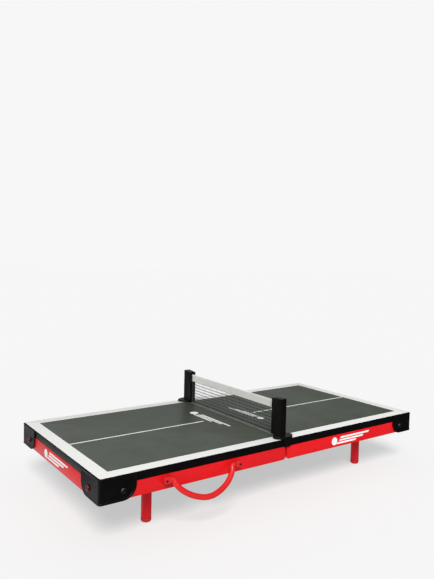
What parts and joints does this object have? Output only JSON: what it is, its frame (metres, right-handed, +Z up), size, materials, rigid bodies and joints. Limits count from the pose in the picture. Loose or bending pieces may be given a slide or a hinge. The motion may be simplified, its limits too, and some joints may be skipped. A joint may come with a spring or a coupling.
{
  "type": "folding table-top table tennis table",
  "caption": "Small table-tennis table that folds in half like a case, with fold-in legs, a lift-off net, corner caps and a side carrying handle.",
  "frame": {"origin": "on the floor under the middle of the whole footprint, which the side handle moves 10 mm off the middle of the table top", "axes": "+X along the table towards the half without the handle, +Y across it away from the handle, +Z up"},
  "size_m": [0.5978, 0.3078, 0.146],
  "materials": {
    "playing_panel": "fibreboard, printed dark green with white lines, satin; edge painted black",
    "painted_rail": "fibreboard covered in glossy red film",
    "corner_cap": "moulded black plastic, satin",
    "black_screw": "black-plated steel",
    "zinc_steel": "zinc-plated pressed steel",
    "leg_tube": "dark red powder coat on steel tube",
    "foot_rubber": "dark red rubber, matte",
    "batten_wood": "bare sawn softwood",
    "carrying_handle": "bright red moulded plastic, semi-gloss",
    "net_post": "moulded black plastic, satin",
    "net_mesh": "knotted black net",
    "net_cord": "black braided cord",
    "net_tape": "woven off-white tape"
  },
  "bodies": {
    "left_half": {"back_hinge_left_leaf": "zinc_steel", "back_hinge_pin": "zinc_steel", "front_hinge_left_leaf": "zinc_steel", "front_hinge_pin": "zinc_steel", "handle_left_boss": "carrying_handle", "handle_left_screw": "black_screw", "handle_right_boss": "carrying_handle", "handle_right_screw": "black_screw", "left_back_cap_end_screw": "black_screw", "left_back_cap_side_screw": "black_screw", "left_back_corner_cap": "corner_cap", "left_back_leg_clip": "zinc_steel", "left_back_rail": "painted_rail", "left_end_rail": "painted_rail", "left_front_cap_end_screw": "black_screw", "left_front_cap_side_screw": "black_screw", "left_front_corner_cap": "corner_cap", "left_front_leg_clip": "zinc_steel", "left_front_rail": "painted_rail", "left_leg_stop_batten": "batten_wood", "left_playing_panel": "playing_panel", "left_seam_rail": "painted_rail"},
    "right_half": {"back_hinge_right_leaf": "zinc_steel", "front_hinge_right_leaf": "zinc_steel", "right_back_cap_end_screw": "black_screw", "right_back_cap_side_screw": "black_screw", "right_back_corner_cap": "corner_cap", "right_back_leg_clip": "zinc_steel", "right_back_rail": "painted_rail", "right_end_rail": "painted_rail", "right_front_cap_end_screw": "black_screw", "right_front_cap_side_screw": "black_screw", "right_front_corner_cap": "corner_cap", "right_front_leg_clip": "zinc_steel", "right_front_rail": "painted_rail", "right_leg_stop_batten": "batten_wood", "right_playing_panel": "playing_panel", "right_seam_rail": "painted_rail"},
    "left_legs": {"left_back_foot": "foot_rubber", "left_front_foot": "foot_rubber", "left_leg_frame": "leg_tube"},
    "right_legs": {"right_back_foot": "foot_rubber", "right_front_foot": "foot_rubber", "right_leg_frame": "leg_tube"},
    "handle": {"carrying_handle": "carrying_handle"},
    "net_set": {"back_net_hem": "net_cord", "back_net_post": "net_post", "front_net_hem": "net_cord", "front_net_post": "net_post", "net_bottom_cord": "net_cord", "net_mesh": "net_mesh", "net_tape": "net_tape"}
  },
  "joints": [
    {"name": "fold", "type": "hinge", "parent": "left_half", "child": "right_half", "pos_m": [0, 0.00999, 0.0568], "axis": [0, 1, 0], "range_deg": [0, 180]},
    {"name": "left_leg_fold", "type": "hinge", "parent": "left_half", "child": "left_legs", "pos_m": [-0.207, 0.00999, 0.0688], "axis": [0, -1, 0], "range_deg": [0, 90]},
    {"name": "right_leg_fold", "type": "hinge", "parent": "right_half", "child": "right_legs", "pos_m": [0.207, 0.00999, 0.0688], "axis": [0, 1, 0], "range_deg": [0, 90]},
    {"name": "handle_swing", "type": "hinge", "parent": "left_half", "child": "handle", "pos_m": [-0.151, -0.13521, 0.0718], "axis": [-1, 0, 0], "range_deg": [-28, 152]},
    {"name": "net_lift", "type": "slide", "parent": "left_half", "child": "net_set", "axis": [0, 0, 1], "range_m": [0, 0.08]}
  ],
  "couplings": [
    {"joint": "left_leg_fold", "follows": "fold", "ratio": 0.5},
    {"joint": "right_leg_fold", "follows": "fold", "ratio": 0.5}
  ]
}
